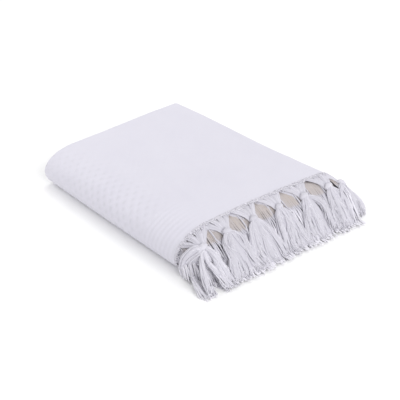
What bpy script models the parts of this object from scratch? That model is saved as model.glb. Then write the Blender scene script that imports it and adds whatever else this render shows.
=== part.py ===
# A folded waffle-weave cotton bedspread with a knotted fringe at both of its ends.
#
# +X points to the fringe, -Y to the big rounded fold, +Z up, and the packet rests on Z = 0.
# The cloth is one sheet, folded twice over. Its length goes to and fro along X, six plies deep,
# and that pile of six is then wound along Y in four layers. A point of the sheet has a place
# (x, depth) in the pile and a place along the winding, and both together give its place in space.

import math
import random

import bmesh
import bpy
from mathutils import Vector

MM = 0.001

# Cloth
THICKNESS = 2.4 * MM
PLY_PITCH = 2.95 * MM
PLIES = 6
LAYER_PITCH = 18.3 * MM
PACKET_LENGTH = 417 * MM
PACKET_WIDTH = 355 * MM
EDGE_GAP = 0.5 * MM

# Rounded fold on the -Y side, as two quarter ellipses around the middle of the pile
FOLD_SIDE_HEIGHT = 31 * MM
FOLD_TUCK = 24 * MM
FOLD_SHOULDER = 62 * MM
INNER_FOLD_Y = 68 * MM
LOWER_EDGE_INSET = 8 * MM
UPPER_EDGE_INSET = 14 * MM

# Ends of the pile along X: the folds at the fringed end and the innermost fold at the back
NOSE_INSET = 8 * MM
LOW_FOLD_INSET = 3 * MM

# Fringe: a narrow strip along the cloth's edge, and for each tassel two bundles of warp, a knot
# and loose strands
STRIP_WIDTH = 5 * MM
BUNDLE_WIDTH = 9 * MM
BUNDLE_SPREAD = 24 * MM
BUNDLE_LENGTH = 25 * MM
KNOT_LENGTH = 9 * MM
KNOT_WIDTH = 11 * MM
KNOT_LUMP = 4 * MM
TUFT_WIDTH = 9 * MM
STRANDS = 5
TIP_SHARE = 0.7
STRAND_STEPS = (
    {"share": 0.3, "roll": 60},
    {"share": 0.6, "roll": 30},
    {"share": 0.86, "roll": 0},
    {"share": 1, "roll": 0},
)
LANDING = 0.86
FAN = 25 * MM
SWAY = 4 * MM
TRIM = 0.1

# Unevenness of the packet: how far the top of the fringed end is pulled in towards the far side,
# how far the top swells, how far the big fold bellies out, and the waves of the back and far sides
END_PULL = 24 * MM
CROWN = 3 * MM
SIDE_BULGE = 4 * MM
BULGE_REACH = 0.6
BACK_WAVE = {"size": 4 * MM, "pace": 4.1, "start": 0.6}
FAR_WAVE = {"size": 3 * MM, "pace": 6.2, "start": 0.5}

# Finish
SHARP_ANGLE = 50
CLOTH_COLOUR = (0.78, 0.77, 0.83)
YARN_COLOUR = (0.84, 0.84, 0.88)
ROUGHNESS = 0.9

# Each run of the sheet along X, in its own order from one fringed end to the other:
# the ply it lies in, counted from the outside of the pile, the end it stops at and
# the number of steps around the fold there
RUNS = (
    {"ply": 0, "stop": "back", "steps": 5},
    {"ply": 3, "stop": "nose", "steps": 4},
    {"ply": 4, "stop": "low back", "steps": 4},
    {"ply": 5, "stop": "nose", "steps": 5},
    {"ply": 2, "stop": "back", "steps": 4},
    {"ply": 1, "stop": "fringed end", "steps": 0},
)
RUN_STEPS = 3

# Legs of the winding, from the lower edge inwards, and the steps that each is built in
LOWER, TUCK, SHOULDER, TOP, FAR_FOLD, UNDER, INNER_FOLD, MIDDLE = range(8)
LEG_STEPS = (5, 5, 7, 6, 5, 5, 4, 5)
BENT_LEGS = (TUCK, SHOULDER, FAR_FOLD, INNER_FOLD)

# Tassels of the two fringed ends, a row for each leg that has some. first is the place of the
# first tassel along a straight leg, or the number of its first step on a bent one. reach is how
# far the tips lie past the cloth's edge, rest the height they come down to, droop how late they
# bend down, drift their way along Y, knot the side that the knot stands out to, and thick the
# strands' radius
TASSEL_COLUMNS = ("leg", "first", "count", "reach", "rest", "droop", "drift", "knot", "thick")
OUTER_TASSELS = (
    (LOWER, 24, 5, 58, 0, 2, 0, 0, 1.5),
    (TUCK, 1, 1, 86, 0, 1.5, -14, 1, 2.4),
    (SHOULDER, 3, 1, 96, 0, 1.6, -11, 1, 3),
    (TOP, 15, 5, 104, 0, 1.8, -3, 1, 3),
    (FAR_FOLD, 0, 1, 88, 0, 2.4, 5, 1, 2.6),
    (UNDER, 30, 4, 62, 11.8, 1.8, 0, 0, 1.5),
    (MIDDLE, 36, 4, 62, 8.85, 1.8, 0, 0, 1.5),
)
INNER_TASSELS = (
    (LOWER, 42, 4, 76, 0, 8, 0, -1, 1.5),
    (SHOULDER, 3, 1, 72, 0, 1.7, 9, -1, 1.8),
    (TOP, 12, 4, 88, 0, 1.7, 0, -1, 2.2),
    (UNDER, 44, 4, 62, 14.75, 1.8, 0, -1, 1.5),
    (MIDDLE, 22, 4, 62, 5.9, 1.8, 0, -1, 1.5),
)
TASSEL_PITCH = 59 * MM
OUTER_SEED = 3
INNER_SEED = 8

# Places worked out from the sizes above
HALF_PILE = PLY_PITCH * (PLIES - 1) / 2 + THICKNESS / 2
LAYER_HEIGHTS = [HALF_PILE + LAYER_PITCH * layer for layer in range(4)]
TURN = LAYER_PITCH / 2
HEIGHT = LAYER_HEIGHTS[3] + HALF_PILE
END_BACK = PLY_PITCH * 1.5 + THICKNESS / 2
END_LOW_BACK = LOW_FOLD_INSET + PLY_PITCH / 2 + THICKNESS / 2
END_NOSE = PACKET_LENGTH - NOSE_INSET - END_BACK
STOPS = {
    "back": END_BACK,
    "low back": END_LOW_BACK,
    "nose": END_NOSE,
    "fringed end": PACKET_LENGTH,
}


def material(name, colour):
    """A plain cloth finish."""
    finish = bpy.data.materials.new(name)
    finish.use_nodes = True
    shader = finish.node_tree.nodes["Principled BSDF"]
    shader.inputs["Base Color"].default_value = (*colour, 1)
    shader.inputs["Roughness"].default_value = ROUGHNESS
    shader.inputs["Metallic"].default_value = 0
    return finish


def straight(y_from, y_to, height):
    """A level leg of the winding."""
    heading = 1 if y_to > y_from else -1
    return {
        "length": abs(y_to - y_from),
        "at": lambda t: (y_from + (y_to - y_from) * t, height, heading, 0),
    }


def bend(y_middle, z_middle, y_radius, z_radius, angle_from, angle_to):
    """A leg that turns along an ellipse, with angles in degrees from +Y towards +Z."""

    def at(t):
        angle = math.radians(angle_from + (angle_to - angle_from) * t)
        way = 1 if angle_to > angle_from else -1
        y_speed = -y_radius * math.sin(angle) * way
        z_speed = z_radius * math.cos(angle) * way
        speed = math.hypot(y_speed, z_speed)
        return (
            y_middle + y_radius * math.cos(angle),
            z_middle + z_radius * math.sin(angle),
            y_speed / speed,
            z_speed / speed,
        )

    mean_radius = math.sqrt((y_radius**2 + z_radius**2) / 2)
    return {"length": math.radians(abs(angle_to - angle_from)) * mean_radius, "at": at}


def winding():
    """The legs along which the middle of the pile is wound, from the lower edge inwards."""
    lower, middle, under, top = LAYER_HEIGHTS
    tip = HALF_PILE
    side = FOLD_SIDE_HEIGHT
    far = PACKET_WIDTH - TURN - HALF_PILE
    tuck_y = tip + FOLD_TUCK
    shoulder_y = tip + FOLD_SHOULDER
    return (
        straight(PACKET_WIDTH - LOWER_EDGE_INSET, tuck_y, lower),
        bend(tuck_y, side, FOLD_TUCK, side - lower, 270, 180),
        bend(shoulder_y, side, FOLD_SHOULDER, top - side, 180, 90),
        straight(shoulder_y, far, top),
        bend(far, under + TURN, TURN, TURN, 90, -90),
        straight(far, INNER_FOLD_Y, under),
        bend(INNER_FOLD_Y, middle + TURN, TURN, TURN, 90, 270),
        straight(INNER_FOLD_Y, PACKET_WIDTH - UPPER_EDGE_INSET, middle),
    )


LEGS = winding()


def leg_places():
    """Every step of the winding, as leg number plus the share of the leg."""
    places = [0.0]
    for leg, steps in enumerate(LEG_STEPS):
        places += [leg + step / steps for step in range(1, steps + 1)]
    return places


def on_winding(x, depth, place):
    """Where a point of the pile lies: depth is out from the pile's middle."""
    leg = min(int(place), len(LEGS) - 1)
    y, z, y_way, z_way = LEGS[leg]["at"](place - leg)
    return (x, y - z_way * depth, z + y_way * depth)


def ease(value):
    """A smooth step from 0 to 1."""
    value = min(max(value, 0), 1)
    return value * value * (3 - 2 * value)


def wave(shape, share):
    """How far one of the packet's sides strays at a share of its length."""
    return shape["size"] * math.sin(shape["pace"] * share + shape["start"])


def settle(point):
    """The packet's own unevenness, the same for every piece: nothing moves off Z = 0."""
    x, y, z = point
    along = x / PACKET_LENGTH
    across = min(max(y / PACKET_WIDTH, 0), 1)
    up = z / HEIGHT
    pull = -END_PULL * (1 - across**2) * ease(along)
    back = wave(BACK_WAVE, across) * (1 - ease(along * 2)) * up
    crown = CROWN * (0.5 * math.sin(math.pi * across) + 0.5 * ease(along)) * up * up
    middle = math.sin(math.pi * min(along, 1))
    bulge = -SIDE_BULGE * middle * (1 - ease(across / BULGE_REACH)) * up * (2 - up)
    far = wave(FAR_WAVE, along) * ease(across) * up
    return (x + pull + back, y + bulge + far, z + crown)


def fold_arc(x_middle, depth_from, depth_to, side, steps):
    """Points around one fold of the sheet, without its first and last, with their normals."""
    middle = (depth_from + depth_to) / 2
    radius = abs(depth_to - depth_from) / 2
    start = math.copysign(math.pi / 2, depth_from - depth_to)
    points = []
    for step in range(1, steps):
        angle = start * (1 - 2 * step / steps)
        points.append(
            (
                x_middle + side * radius * math.cos(angle),
                middle + radius * math.sin(angle),
                side * math.cos(angle),
                math.sin(angle),
            )
        )
    return points


def sheet_course():
    """The sheet's middle line in the pile, as x, depth and the way out of one of its faces."""
    course = []
    here = PACKET_LENGTH
    face = 1
    for number, run in enumerate(RUNS):
        depth = PLY_PITCH * ((PLIES - 1) / 2 - run["ply"])
        stop = STOPS[run["stop"]]
        span = END_NOSE - END_BACK
        lines = [END_BACK + span * step / RUN_STEPS for step in range(1, RUN_STEPS)]
        if max(here, stop) > END_NOSE + MM:
            lines.append(END_NOSE)
        heading = 1 if stop > here else -1
        xs = [here] + sorted(lines, key=lambda x: x * heading) + [stop]
        course += [(x, depth, 0, face) for x in xs]
        if run["steps"]:
            next_depth = PLY_PITCH * ((PLIES - 1) / 2 - RUNS[number + 1]["ply"])
            outward = face * (1 if depth > next_depth else -1)
            arc = fold_arc(stop, depth, next_depth, heading, run["steps"])
            for x, level, x_out, depth_out in arc:
                course.append((x, level, x_out * outward, depth_out * outward))
            face = -face
            here = stop
    return course


def quad(faces, first, second, third, fourth):
    """Two triangles for four corners in turn."""
    faces.append((first, second, third))
    faces.append((first, third, fourth))


def mesh_object(name, points, faces, finish):
    """A named object from points and faces, settled and shaded smooth."""
    mesh = bpy.data.meshes.new(name)
    mesh.from_pydata([settle(point) for point in points], [], faces)
    shell = bmesh.new()
    shell.from_mesh(mesh)
    bmesh.ops.recalc_face_normals(shell, faces=shell.faces)
    shell.to_mesh(mesh)
    shell.free()
    mesh.materials.append(finish)
    mesh.shade_smooth()
    mesh.set_sharp_from_angle(angle=math.radians(SHARP_ANGLE))
    item = bpy.data.objects.new(name, mesh)
    bpy.context.collection.objects.link(item)
    return item


def make_cloth(finish):
    """The whole folded sheet, as one closed solid."""
    course = sheet_course()
    places = leg_places()
    points = []
    for place in places:
        for x, depth, x_out, depth_out in course:
            for side in (1, -1):
                reach = side * THICKNESS / 2
                points.append(on_winding(x + x_out * reach, depth + depth_out * reach, place))
    row = 2 * len(course)
    faces = []
    for j in range(len(places) - 1):
        for i in range(len(course) - 1):
            a, b = j * row + 2 * i, j * row + 2 * (i + 1)
            quad(faces, a, b, b + row, a + row)
            quad(faces, a + 1, a + 1 + row, b + 1 + row, b + 1)
        first, last = j * row, j * row + row - 2
        quad(faces, first, first + row, first + row + 1, first + 1)
        quad(faces, last, last + 1, last + row + 1, last + row)
    for i in range(len(course) - 1):
        a, b = 2 * i, 2 * (i + 1)
        quad(faces, a, a + 1, b + 1, b)
        end = (len(places) - 1) * row
        quad(faces, end + a, end + b, end + b + 1, end + a + 1)
    return mesh_object("cloth", points, faces, finish)


def bundle_roots(row, number):
    """Where the two bundles of one tassel leave the strip, each as two places of the winding."""
    leg = row["leg"]
    steps = LEG_STEPS[leg]
    if leg in BENT_LEGS:
        first = row["first"]
        return [(leg + k / steps, leg + (k + 1) / steps) for k in (first, first + 2)]
    length = LEGS[leg]["length"]
    step = length / steps
    clear = BUNDLE_WIDTH / 2 + MM
    roots = []
    for side in (-1, 1):
        middle = row["first"] * MM + number * TASSEL_PITCH + side * BUNDLE_SPREAD / 2
        line = round(middle / step) * step
        if abs(middle - line) < clear:
            middle = line + math.copysign(clear, middle - line)
        low, high = middle - BUNDLE_WIDTH / 2, middle + BUNDLE_WIDTH / 2
        roots.append((leg + low / length, leg + high / length))
    return roots


def tassel_frame(tassel, x):
    """The middle of a tassel at x, with its ways across and out of the pile, in Y and Z."""
    y, z = tassel["start"]
    start = tassel["strip_end"]
    share = (x - start) / (PACKET_LENGTH + tassel["reach"] * MM - start)
    level = ease(share)
    low = tassel["rest"] * MM + THICKNESS / 2
    height = low + (z - low) * (1 - min(share / LANDING, 1) ** tassel["droop"])
    y_way, z_way = tassel["along"]
    flat_y = y_way * (1 - level) + math.copysign(level, y_way)
    across = Vector((flat_y, z_way * (1 - level))).normalized()
    middle = Vector((y + tassel["drift"] * MM * level, height))
    return middle, across, Vector((-across.y, across.x))


def ring_points(points, tassel, x, spots):
    """Add points around a tassel at x, from places across and out, and number them."""
    middle, across, out = tassel_frame(tassel, x)
    first = len(points)
    points += [(x, *(middle + across * a + out * b)) for a, b in spots]
    return list(range(first, len(points)))


def bridge(faces, ring, next_ring):
    """A band of faces between two rings of as many points."""
    for i in range(len(ring)):
        k = (i + 1) % len(ring)
        quad(faces, ring[i], ring[k], next_ring[k], next_ring[i])


def add_tassel(points, faces, root_faces, tassel, chance):
    """Two bundles that meet in a knot, and the strands below it, drawn out of the strip's end."""
    half = THICKNESS / 2
    knot_start = tassel["strip_end"] + BUNDLE_LENGTH
    rings = []
    for step, width, lump in ((0, TUFT_WIDTH, 0), (0.5, KNOT_WIDTH, KNOT_LUMP)):
        w = width / 2
        top = half + lump * max(tassel["knot"], 0)
        bottom = -half + lump * min(tassel["knot"], 0)
        spots = ((-w, top), (0, top), (w, top), (w, bottom), (0, bottom), (-w, bottom))
        rings.append(ring_points(points, tassel, knot_start + KNOT_LENGTH * step, spots))
    back, knot = rings
    bridge(faces, root_faces[0], (back[0], back[1], back[4], back[5]))
    bridge(faces, root_faces[1], (back[1], back[2], back[3], back[4]))
    bridge(faces, back, knot)
    pitch = TUFT_WIDTH / (STRANDS + 1)
    spots = [(pitch * i - TUFT_WIDTH / 2, half * (1 if i % 2 else -1)) for i in range(STRANDS + 2)]
    tuft = ring_points(points, tassel, knot_start + KNOT_LENGTH, spots)
    bridge_edge(faces, (knot[0], knot[1], knot[2]), tuft[1::2])
    bridge_edge(faces, (knot[5], knot[4], knot[3]), tuft[0::2])
    quad(faces, knot[0], tuft[1], tuft[0], knot[5])
    quad(faces, knot[2], knot[3], tuft[-1], tuft[-2])
    swing = chance.uniform(-1, 1) * SWAY
    for number in range(STRANDS):
        strand = {
            "spread": 2 * number / (STRANDS - 1) - 1,
            "swing": swing,
            "trim": 1 - TRIM * chance.random(),
        }
        corners = slice(number, number + 3)
        add_strand(points, faces, tuft[corners], spots[corners], tassel, strand)


def bridge_edge(faces, edge, line):
    """A band of faces between the three points of a knot's edge and a line of points."""
    last = len(line) - 1
    turn = last // 2
    for i in range(last):
        nearest = edge[0] if i < turn else edge[2] if i >= last - turn else edge[1]
        faces.append((nearest, line[i], line[i + 1]))
    faces.append((edge[0], edge[1], line[turn]))
    faces.append((edge[1], edge[2], line[last - turn]))


def add_strand(points, faces, base, spots, tassel, strand):
    """One three-sided strand, drawn out of a triangle of the tuft, flat side down at its tip."""
    root_x = points[base[0]][0]
    full = PACKET_LENGTH + tassel["reach"] * MM - root_x
    middle_spot = sum(spot[0] for spot in spots) / 3
    ring = list(base)
    order = []
    for step in STRAND_STEPS:
        share = step["share"]
        x = root_x + full * share * (strand["trim"] if share == 1 else 1)
        middle, across, out = tassel_frame(tassel, x)
        side = middle + across * (strand["spread"] * (FAN - TUFT_WIDTH / 2) * share)
        side.x += strand["swing"] * math.sin(math.pi * share)
        if not order:
            corners = [side + across * a + out * b for a, b in spots]
            lean = sum(corners, Vector((0, 0))) / 3
            turns = [math.atan2(corner.y - lean.y, corner.x - lean.x) for corner in corners]
            order = sorted(range(3), key=turns.__getitem__)
            hangs = lean.y > side.y
        else:
            radius = tassel["thick"] * MM * (1 + (TIP_SHARE - 1) * share)
            roll = step["roll"] if hangs else 0
            angles = [math.radians(-150 + 120 * turn + roll) for turn in range(3)]
            floor = side.y - THICKNESS / 2 - radius * min(math.sin(angle) for angle in angles)
            centre = Vector((side.x + across.x * middle_spot, floor))
            for angle, k in zip(angles, order):
                corners[k] = centre + radius * Vector((math.cos(angle), math.sin(angle)))
        lift = max(0, -min(corner.y for corner in corners))
        first = len(points)
        points += [(x, corner.x, corner.y + lift) for corner in corners]
        bridge(faces, ring, range(first, first + 3))
        ring = list(range(first, first + 3))
    faces.append(tuple(ring))


def make_fringe(name, depth, rows, seed, finish):
    """One fringed end: a narrow strip beside the cloth's edge, with its tassels."""
    chance = random.Random(seed)
    strip_start = PACKET_LENGTH + EDGE_GAP
    strip_end = strip_start + STRIP_WIDTH
    places = set(leg_places())
    roots = {}
    tassels = []
    for values in rows:
        row = dict(zip(TASSEL_COLUMNS, values))
        for number in range(row["count"]):
            bundles = bundle_roots(row, number)
            middle = (bundles[0][0] + bundles[1][1]) / 2
            start = on_winding(0, depth, middle)[1:]
            along = LEGS[row["leg"]]["at"](middle - row["leg"])[2:]
            tassels.append({**row, "start": start, "along": along, "strip_end": strip_end})
            for bundle in bundles:
                roots[bundle[0]] = (len(tassels) - 1, bundle)
                places |= set(bundle)
    places = sorted(places)
    points = []
    for place in places:
        for x, side in ((strip_start, -1), (strip_start, 1), (strip_end, 1), (strip_end, -1)):
            points.append(on_winding(x, depth + side * THICKNESS / 2, place))
    faces = []
    root_faces = [[] for tassel in tassels]
    for j, place in enumerate(places[:-1]):
        a, b = 4 * j, 4 * (j + 1)
        quad(faces, a, a + 1, b + 1, b)
        quad(faces, a + 1, a + 2, b + 2, b + 1)
        quad(faces, a + 3, a, b, b + 3)
        if place in roots:
            root_faces[roots[place][0]].append((a + 2, b + 2, b + 3, a + 3))
        else:
            quad(faces, b + 2, a + 2, a + 3, b + 3)
    quad(faces, 0, 3, 2, 1)
    end = 4 * (len(places) - 1)
    quad(faces, end, end + 1, end + 2, end + 3)
    for tassel, roots_of_tassel in zip(tassels, root_faces):
        add_tassel(points, faces, roots_of_tassel, tassel, chance)
    return mesh_object(name, points, faces, finish)


def stand_on_origin(items):
    """Move every piece so that the middle of the packet's footprint is at the origin."""
    points = [vertex.co for item in items for vertex in item.data.vertices]
    middle_x = (min(p.x for p in points) + max(p.x for p in points)) / 2
    middle_y = (min(p.y for p in points) + max(p.y for p in points)) / 2
    for item in items:
        for vertex in item.data.vertices:
            vertex.co.x -= middle_x
            vertex.co.y -= middle_y
        item.data.update()


def main():
    for item in list(bpy.data.objects):
        bpy.data.objects.remove(item, do_unlink=True)
    waffle = material("waffle cotton", CLOTH_COLOUR)
    yarn = material("cotton yarn", YARN_COLOUR)
    outer_depth = PLY_PITCH * (PLIES - 1) / 2
    inner_depth = outer_depth - PLY_PITCH
    items = [
        make_cloth(waffle),
        make_fringe("fringe_outer", outer_depth, OUTER_TASSELS, OUTER_SEED, yarn),
        make_fringe("fringe_inner", inner_depth, INNER_TASSELS, INNER_SEED, yarn),
    ]
    stand_on_origin(items)


main()
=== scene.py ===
# %% [markdown]
# # A folded bedspread with a knotted fringe
#
# The object is a white cotton bedspread, folded into a neat packet. Its solids come from the CAD
# model and are only a frame: this lesson dresses them with a thin woven sheet, two knotted
# fringes and cotton finishes, and sets up the camera, the light and the floor.
#
# All lengths are in metres and +Z is up. +X points to the fringe, -Y to the big rounded fold.

# %% Load the frame
import math
import random

import bmesh
import bpy
from mathutils import Matrix, Vector


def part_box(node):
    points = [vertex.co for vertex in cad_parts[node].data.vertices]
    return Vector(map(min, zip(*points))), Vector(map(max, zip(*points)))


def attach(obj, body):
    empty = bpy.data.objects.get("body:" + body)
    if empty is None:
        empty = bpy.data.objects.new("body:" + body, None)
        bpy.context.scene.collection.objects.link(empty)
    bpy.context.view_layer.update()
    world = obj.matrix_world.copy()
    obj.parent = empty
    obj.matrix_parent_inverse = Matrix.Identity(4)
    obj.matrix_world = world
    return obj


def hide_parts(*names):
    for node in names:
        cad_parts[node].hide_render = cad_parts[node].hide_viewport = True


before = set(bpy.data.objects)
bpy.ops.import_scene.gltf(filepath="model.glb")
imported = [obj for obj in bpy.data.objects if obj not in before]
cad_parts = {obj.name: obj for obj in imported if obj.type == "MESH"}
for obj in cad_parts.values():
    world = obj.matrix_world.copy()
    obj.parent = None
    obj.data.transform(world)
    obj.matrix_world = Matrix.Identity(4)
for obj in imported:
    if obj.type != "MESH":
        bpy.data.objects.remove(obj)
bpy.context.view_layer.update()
MM = 0.001

# %% [markdown]
# ## The camera
#
# The photograph is taken with a longer lens from above the corner where the rounded fold meets
# the fringe. Such a view could be set by eye, but the edges of the packet are straight enough to
# fit a camera to them. These numbers are that fit, for a 36 mm wide sensor.

# %% Place the camera
CAMERA_PLACE = (0.9143, -0.8260, 0.7745)
CAMERA_TURN = 47.72
CAMERA_TILT = 31.83
CAMERA_LENS = 68.76

camera_data = bpy.data.cameras.new("camera")
camera_data.lens = CAMERA_LENS
camera_data.sensor_width = 36
camera = bpy.data.objects.new("camera", camera_data)
camera.location = CAMERA_PLACE
camera.rotation_euler = (math.radians(90 - CAMERA_TILT), 0, math.radians(CAMERA_TURN))
bpy.context.collection.objects.link(camera)
bpy.context.scene.camera = camera
print("camera looks down", CAMERA_TILT, "degrees")

# %% [markdown]
# ## Colours and nodes
#
# A colour picker shows sRGB values, but a shader works with linear light, so one function turns
# a hex value into what a socket needs. A second one adds a node with its settings and links in
# one call, which keeps each finish short enough to read. Cloth and yarn are the same matt cotton,
# so one more function sets that for both.

# %% Colour and node helpers
def colour(hex_value):
    """A linear colour with alpha from an sRGB hex value such as E4E2EC."""
    channels = [int(hex_value[i : i + 2], 16) / 255 for i in (0, 2, 4)]
    linear = [c / 12.92 if c <= 0.04045 else ((c + 0.055) / 1.055) ** 2.4 for c in channels]
    return (*linear, 1)


def add_node(tree, kind, settings=None, links=None):
    """Add a shader node, set its properties or sockets, and feed its sockets from outputs."""
    made = tree.nodes.new("ShaderNode" + kind)
    for name, value in (settings or {}).items():
        if isinstance(name, int) or name in made.inputs:
            made.inputs[name].default_value = value
        else:
            setattr(made, name, value)
    for name, source in (links or {}).items():
        tree.links.new(source, made.inputs[name])
    return made


def new_finish(name):
    """An empty finish and its surface shader."""
    finish = bpy.data.materials.new(name)
    finish.use_nodes = True
    return finish, finish.node_tree, finish.node_tree.nodes["Principled BSDF"]


def set_cotton(shader, roughness, sheen):
    """Matt cotton: no gloss, and a faint sheen from its loose fibres."""
    shader.inputs["Roughness"].default_value = roughness
    shader.inputs["Sheen Weight"].default_value = sheen
    shader.inputs["Sheen Roughness"].default_value = 0.5
    shader.inputs["Specular IOR Level"].default_value = 0.2


print("white cotton is", [round(c, 3) for c in colour("E4E2EC")])

# %% [markdown]
# ## Floor and light
#
# The packet lies on a white studio floor that is lit until it has no tone of its own. A pale
# plane under an even white sky gives that ground. Three lamps model the cloth: a wide one high
# behind the packet leaves a soft shade along the two front edges, a wider one brightens the
# fringe, and a small low one lifts the rounded fold. The plain display transform keeps white at
# white.

# %% Make the floor
FLOOR_SIZE = 14
# Cells of noise in a metre of floor
FLOOR_CELLS = 3.0
bpy.ops.object.select_all(action="DESELECT")
bpy.ops.mesh.primitive_plane_add(size=FLOOR_SIZE, location=(0, 0, 0))
floor = bpy.context.object
floor.name = "floor"
floor_finish, tree, shader = new_finish("studio floor, matt white paint")
shader.inputs["Roughness"].default_value = 0.9
shader.inputs["Specular IOR Level"].default_value = 0.1
where = add_node(tree, "TexCoord").outputs["Object"]
grain = add_node(tree, "TexNoise", {"Scale": FLOOR_CELLS, "Detail": 2.0}, {"Vector": where})
tint = add_node(tree, "ValToRGB", links={"Fac": grain.outputs["Fac"]})
tint.color_ramp.elements[0].color = colour("FAFAFA")
tint.color_ramp.elements[1].color = colour("FCFCFC")
tree.links.new(tint.outputs["Color"], shader.inputs["Base Color"])
floor.data.materials.append(floor_finish)
print("floor", FLOOR_SIZE, "m wide")

# %% Set the light
SKY_STRENGTH = 0.62
LAMPS = (
    {"name": "wide lamp behind", "place": (-0.9, 1.2, 2.4), "size": 2.2, "power": 23},
    {"name": "wide lamp towards the fringe", "place": (4.3, -0.4, 2.4), "size": 3.2, "power": 145},
    {"name": "small lamp at the left", "place": (-1.15, -0.95, 0.8), "size": 0.8, "power": 5.2},
)

world = bpy.data.worlds.new("studio")
world.use_nodes = True
sky = world.node_tree.nodes["Background"]
sky.inputs["Color"].default_value = (1, 1, 1, 1)
sky.inputs["Strength"].default_value = SKY_STRENGTH
bpy.context.scene.world = world

for row in LAMPS:
    lamp_data = bpy.data.lights.new(row["name"], "AREA")
    lamp_data.size = row["size"]
    lamp_data.energy = row["power"]
    lamp = bpy.data.objects.new(row["name"], lamp_data)
    lamp.location = row["place"]
    lamp.rotation_euler = (-Vector(row["place"])).to_track_quat("-Z", "Y").to_euler()
    bpy.context.collection.objects.link(lamp)
bpy.context.scene.view_settings.view_transform = "Standard"
print("sky", SKY_STRENGTH, "lamps", [row["power"] for row in LAMPS], "W")

# %% [markdown]
# ## How the sheet is folded
#
# Drawing a folded cloth freehand ends in plies that cut through each other. It is safer to
# repeat what the hands did. The cloth's length, its warp, goes to and fro in six plies: that is a
# flat zigzag line with a place x and a depth in the pile. The pile is then wound over four
# layers: that is a path in y and z. A point of the cloth has a place on both, and together they
# say where it lies. These are the sizes that the solids were made from.

# %% Sizes of the folded sheet
THICKNESS = 2.4 * MM
PLY_PITCH = 2.95 * MM
PLIES = 6
LAYER_PITCH = 18.3 * MM
PACKET_LENGTH = 417 * MM
PACKET_WIDTH = 355 * MM
FOLD_SIDE_HEIGHT = 31 * MM
FOLD_TUCK = 24 * MM
FOLD_SHOULDER = 62 * MM
INNER_FOLD_Y = 68 * MM
LOWER_EDGE_INSET = 8 * MM
UPPER_EDGE_INSET = 14 * MM
NOSE_INSET = 8 * MM
LOW_FOLD_INSET = 3 * MM

HALF_PILE = PLY_PITCH * (PLIES - 1) / 2 + THICKNESS / 2
LAYER_HEIGHTS = [HALF_PILE + LAYER_PITCH * layer for layer in range(4)]
TURN = LAYER_PITCH / 2
HEIGHT = LAYER_HEIGHTS[3] + HALF_PILE
END_BACK = PLY_PITCH * 1.5 + THICKNESS / 2
END_LOW_BACK = LOW_FOLD_INSET + PLY_PITCH / 2 + THICKNESS / 2
END_NOSE = PACKET_LENGTH - NOSE_INSET - END_BACK
print("packet height without its unevenness:", round(HEIGHT, 4))


# %% The path of the winding
def straight(y_from, y_to, height):
    """A level leg of the winding."""
    heading = 1 if y_to > y_from else -1
    return {
        "length": abs(y_to - y_from),
        "at": lambda t: (y_from + (y_to - y_from) * t, height, heading, 0),
    }


def bend(y_middle, z_middle, y_radius, z_radius, angle_from, angle_to):
    """A leg that turns along an ellipse, with angles in degrees from +Y towards +Z."""

    def at(t):
        angle = math.radians(angle_from + (angle_to - angle_from) * t)
        way = 1 if angle_to > angle_from else -1
        y_speed = -y_radius * math.sin(angle) * way
        z_speed = z_radius * math.cos(angle) * way
        speed = math.hypot(y_speed, z_speed)
        return (
            y_middle + y_radius * math.cos(angle),
            z_middle + z_radius * math.sin(angle),
            y_speed / speed,
            z_speed / speed,
        )

    mean_radius = math.sqrt((y_radius**2 + z_radius**2) / 2)
    return {"length": math.radians(abs(angle_to - angle_from)) * mean_radius, "at": at}


def winding():
    """The legs of the path, from the edge at the bottom of the packet inwards."""
    lower, middle, under, top = LAYER_HEIGHTS
    far = PACKET_WIDTH - TURN - HALF_PILE
    tuck_y = HALF_PILE + FOLD_TUCK
    shoulder_y = HALF_PILE + FOLD_SHOULDER
    side = FOLD_SIDE_HEIGHT
    return (
        straight(PACKET_WIDTH - LOWER_EDGE_INSET, tuck_y, lower),
        bend(tuck_y, side, FOLD_TUCK, side - lower, 270, 180),
        bend(shoulder_y, side, FOLD_SHOULDER, top - side, 180, 90),
        straight(shoulder_y, far, top),
        bend(far, under + TURN, TURN, TURN, 90, -90),
        straight(far, INNER_FOLD_Y, under),
        bend(INNER_FOLD_Y, middle + TURN, TURN, TURN, 90, 270),
        straight(INNER_FOLD_Y, PACKET_WIDTH - UPPER_EDGE_INSET, middle),
    )


LEGS = winding()
LOWER, TUCK, SHOULDER, TOP, FAR_FOLD, UNDER, INNER_FOLD, MIDDLE = range(8)
BENT_LEGS = (TUCK, SHOULDER, FAR_FOLD, INNER_FOLD)
LEG_STARTS = [sum(leg["length"] for leg in LEGS[:number]) for number in range(len(LEGS))]
WEFT_LENGTH = sum(leg["length"] for leg in LEGS)


def on_winding(x, depth, place):
    """Where a point of the pile lies: place is leg number plus share of the leg."""
    leg = min(int(place), len(LEGS) - 1)
    y, z, y_way, z_way = LEGS[leg]["at"](place - leg)
    return (x, y - z_way * depth, z + y_way * depth)


def weft_at(place):
    """How far along the weft a place of the winding is."""
    leg = min(int(place), len(LEGS) - 1)
    return LEG_STARTS[leg] + LEGS[leg]["length"] * (place - leg)


print("weft:", round(WEFT_LENGTH, 3), "m")

# %% [markdown]
# ## Unevenness
#
# A packet folded by hand isn't a block: its fringed end is drawn in towards the far side, its
# top swells, and its sides wave. The same smooth moves are given to every point of every piece,
# so that plies that were clear of each other stay clear, and all that lies on the floor stays.

# %% Settle the packet
END_PULL = 24 * MM
CROWN = 3 * MM
SIDE_BULGE = 4 * MM
BULGE_REACH = 0.6
BACK_WAVE = {"size": 4 * MM, "pace": 4.1, "start": 0.6}
FAR_WAVE = {"size": 3 * MM, "pace": 6.2, "start": 0.5}


def ease(value):
    """A smooth step from 0 to 1."""
    value = min(max(value, 0), 1)
    return value * value * (3 - 2 * value)


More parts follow.
